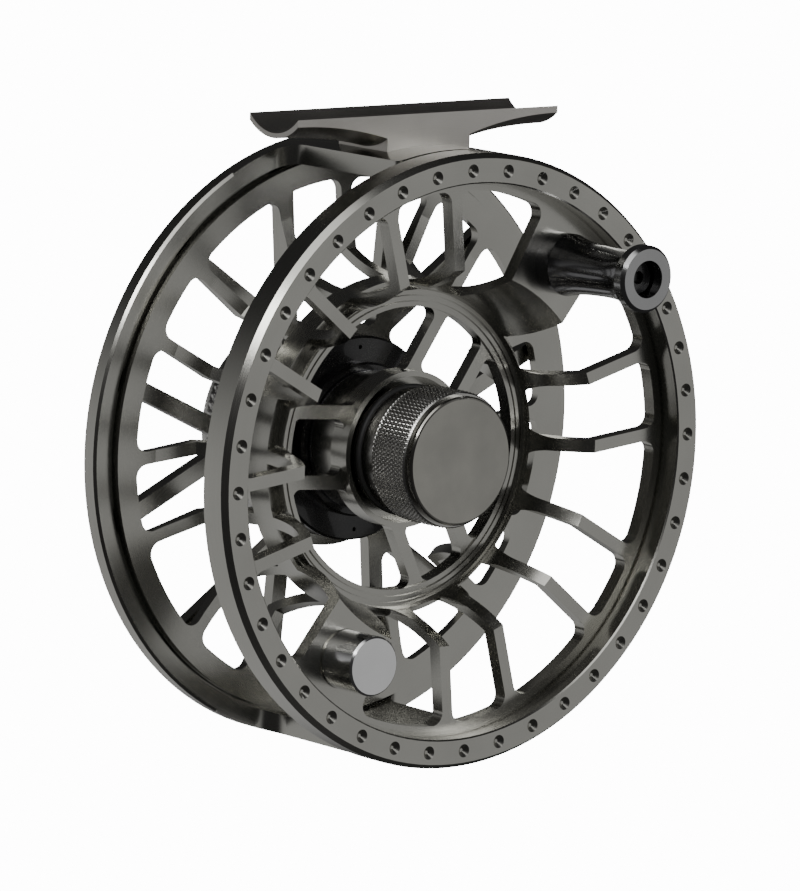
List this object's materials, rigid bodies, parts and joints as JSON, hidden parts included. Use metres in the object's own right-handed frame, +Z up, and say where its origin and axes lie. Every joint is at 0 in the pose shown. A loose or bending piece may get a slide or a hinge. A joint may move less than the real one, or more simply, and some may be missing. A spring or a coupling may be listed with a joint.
{
  "type": "fly reel",
  "caption": "Large-arbor fly reel: spoked spool with a palming rim and handle, in a cage frame with a clamping foot and a knob-set disc drag.",
  "frame": {"origin": "bottom of the reel foot's trough, in the middle of the foot", "axes": "+X along the foot and the rod, +Y back along the spindle away from the handle, +Z up out of the foot towards the rod"},
  "size_m": [0.11, 0.0727, 0.1156],
  "materials": {
    "anodised": "satin anodised",
    "anodised_foot": "bead blasted and anodised",
    "anodised_cap": "knurled and anodised",
    "polished_cap": "polished and anodised",
    "black_grip": "glossy",
    "handle_base": "polished and anodised",
    "polished_ring": "polished",
    "bright_weight": "bright turned",
    "black_drag": "black anodised",
    "steel": "turned",
    "bronze": "turned",
    "friction": "matt carbon composite",
    "rubber_seal": "matt"
  },
  "bodies": {
    "frame_body": {"frame": "anodised", "foot": "anodised_foot", "foot_screws": "steel", "drag_housing": "black_drag", "housing_cover": "black_drag", "housing_screws": "steel", "shaft_seal": "rubber_seal", "clutch_shell": "steel", "clutch_rollers": "steel", "front_friction_disc": "friction", "rotor_disc": "steel", "rear_friction_disc": "friction", "spindle": "steel", "spindle_clip": "steel", "click_spring": "steel"},
    "spool_body": {"spool": "anodised", "front_bushing": "bronze", "rear_bushing": "bronze", "drive_sleeve": "steel", "click_ring": "steel", "counterweight": "bright_weight", "counterweight_screw": "steel", "handle_foot": "handle_base", "handle_post": "steel", "handle_washer": "steel", "handle_screw": "steel"},
    "handle_body": {"handle_grip": "black_grip", "handle_end_ring": "polished_ring"},
    "washer_body": {"cap_washer": "steel"},
    "cap_body": {"spool_cap": "anodised_cap", "cap_disc": "polished_cap", "cap_o_ring": "rubber_seal"},
    "knob_body": {"drag_knob": "anodised_cap", "knob_screw": "steel"},
    "nut_body": {"adjuster_nut": "bronze"},
    "pressure_body": {"pressure_plate": "steel", "thrust_ring": "steel", "drag_springs": "steel"},
    "click_body": {"click_plunger": "steel"}
  },
  "joints": [
    {"name": "spool_spin", "type": "hinge", "parent": "frame_body", "child": "spool_body", "pos_m": [0, -0.02075, -0.05775], "axis": [0, 1, 0], "continuous": true},
    {"name": "handle_spin", "type": "hinge", "parent": "spool_body", "child": "handle_body", "pos_m": [0.02322, -0.01625, -0.02396], "axis": [0, 1, 0], "continuous": true},
    {"name": "cap_travel", "type": "slide", "parent": "frame_body", "child": "washer_body", "axis": [0, -1, 0], "range_m": [0, 0.00375]},
    {"name": "cap_turn", "type": "hinge", "parent": "washer_body", "child": "cap_body", "pos_m": [0, -0.02075, -0.05775], "axis": [0, -1, 0], "range_deg": [0, 1081]},
    {"name": "drag_knob_turn", "type": "hinge", "parent": "frame_body", "child": "knob_body", "pos_m": [0, -0.02075, -0.05775], "axis": [0, -1, 0], "range_deg": [0, 330.5]},
    {"name": "adjuster_slide", "type": "slide", "parent": "knob_body", "child": "nut_body", "axis": [0, -1, 0], "range_m": [0, 0.000733]},
    {"name": "pressure_slide", "type": "slide", "parent": "frame_body", "child": "pressure_body", "axis": [0, -1, 0], "range_m": [0, 0.00016]},
    {"name": "click_press", "type": "slide", "parent": "frame_body", "child": "click_body", "axis": [0, 1, 0], "range_m": [0, 0.0004], "stiffness_N_per_m": 400, "springref_m": -0.0004, "deforming": ["click_spring"]}
  ],
  "couplings": [
    {"joint": "cap_turn", "follows": "cap_travel", "rad_per_m": 5026.5},
    {"joint": "drag_knob_turn", "follows": "adjuster_slide", "rad_per_m": 7854},
    {"joint": "pressure_slide", "follows": "adjuster_slide", "ratio": 0.20464}
  ]
}
